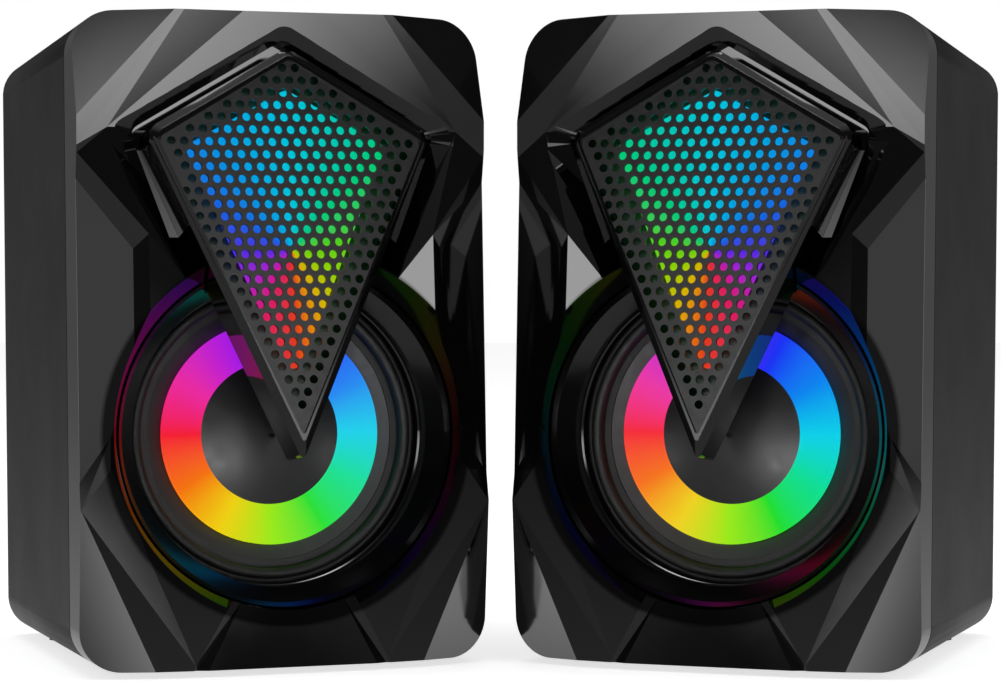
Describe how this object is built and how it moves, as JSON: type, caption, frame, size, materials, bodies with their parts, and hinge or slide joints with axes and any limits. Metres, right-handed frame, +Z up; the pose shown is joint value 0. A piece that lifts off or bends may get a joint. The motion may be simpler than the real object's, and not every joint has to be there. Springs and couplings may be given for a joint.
{
  "type": "desktop speaker pair",
  "caption": "Toed-in pair of faceted black desktop speakers, each with a kite-shaped lit grille over a driver with a glowing ring.",
  "frame": {"origin": "on the table under the middle of the pair", "axes": "+X to the right as seen by the listener, +Y to the back, +Z up"},
  "size_m": [0.242, 0.1232, 0.1455],
  "materials": {
    "gloss_front": "high gloss",
    "satin_case": "satin",
    "gloss_trim": "high gloss",
    "gloss_bezel": "high gloss",
    "grille_steel": "satin black paint",
    "rubber": "matte",
    "gasket_foam": "matte foam",
    "black_screw": "blackened steel",
    "black_steel": "satin black paint",
    "zinc_steel": "zinc plated",
    "ferrite": "matte grey ferrite",
    "cone_paper": "matte",
    "cap_plastic": "satin",
    "spider_cloth": "woven",
    "copper_coil": "enamelled wire",
    "circuit_board": "solder mask",
    "knob_plastic": "satin",
    "ring_light": "translucent, lit from behind",
    "kite_light": "translucent, lit from behind"
  },
  "bodies": {
    "left_cabinet": {"left_front_panel": "gloss_front", "left_rear_shell": "satin_case", "left_feet": "rubber", "left_case_screws": "black_screw", "left_trim_ring": "gloss_trim", "left_driver_basket": "black_steel", "left_driver_gasket": "gasket_foam", "left_driver_screws": "black_screw", "left_top_plate": "zinc_steel", "left_magnet": "ferrite", "left_yoke": "zinc_steel", "left_surround": "rubber", "left_spider": "spider_cloth", "left_ring_light_board": "circuit_board", "left_kite_bezel": "gloss_bezel", "left_kite_grille": "grille_steel", "left_kite_diffuser": "kite_light", "left_kite_light_board": "circuit_board", "left_kite_back_cover": "satin_case", "left_link_gland": "rubber"},
    "left_moving_driver": {"left_cone": "cone_paper", "left_light_ring": "ring_light", "left_dust_cap": "cap_plastic", "left_voice_coil": "copper_coil"},
    "right_cabinet": {"right_front_panel": "gloss_front", "right_rear_shell": "satin_case", "right_feet": "rubber", "right_case_screws": "black_screw", "right_trim_ring": "gloss_trim", "right_driver_basket": "black_steel", "right_driver_gasket": "gasket_foam", "right_driver_screws": "black_screw", "right_top_plate": "zinc_steel", "right_magnet": "ferrite", "right_yoke": "zinc_steel", "right_surround": "rubber", "right_spider": "spider_cloth", "right_ring_light_board": "circuit_board", "right_kite_bezel": "gloss_bezel", "right_kite_grille": "grille_steel", "right_kite_diffuser": "kite_light", "right_kite_light_board": "circuit_board", "right_kite_back_cover": "satin_case", "right_link_gland": "rubber", "right_input_gland": "rubber", "right_volume_pot": "zinc_steel", "right_amp_board": "circuit_board"},
    "right_moving_driver": {"right_cone": "cone_paper", "right_light_ring": "ring_light", "right_dust_cap": "cap_plastic", "right_voice_coil": "copper_coil"},
    "volume_knob": {"right_volume_knob": "knob_plastic"},
    "light_button": {"right_light_button": "knob_plastic"}
  },
  "joints": [
    {"name": "left_cone_travel", "type": "slide", "parent": "left_cabinet", "child": "left_moving_driver", "axis": [0.35, -0.9361, 0.0349], "range_m": [-0.0015, 0.0015], "stiffness_N_per_m": 2200, "deforming": ["left_surround", "left_spider"]},
    {"name": "right_cone_travel", "type": "slide", "parent": "right_cabinet", "child": "right_moving_driver", "axis": [-0.35, -0.9361, 0.0349], "range_m": [-0.0015, 0.0015], "stiffness_N_per_m": 2200, "deforming": ["right_surround", "right_spider"]},
    {"name": "volume_turn", "type": "hinge", "parent": "right_cabinet", "child": "volume_knob", "pos_m": [0.10081, 0.04311, 0.08199], "axis": [-0.35, -0.9361, 0.0349], "range_deg": [0, 300]},
    {"name": "light_button_press", "type": "slide", "parent": "right_cabinet", "child": "light_button", "axis": [-0.35, -0.9361, 0.0349], "range_m": [0, 0.0008], "stiffness_N_per_m": 500},
    {"name": "pair_spacing", "type": "slide", "parent": "left_cabinet", "child": "right_cabinet", "axis": [1, 0, 0], "range_m": [0, 0.3]}
  ]
}
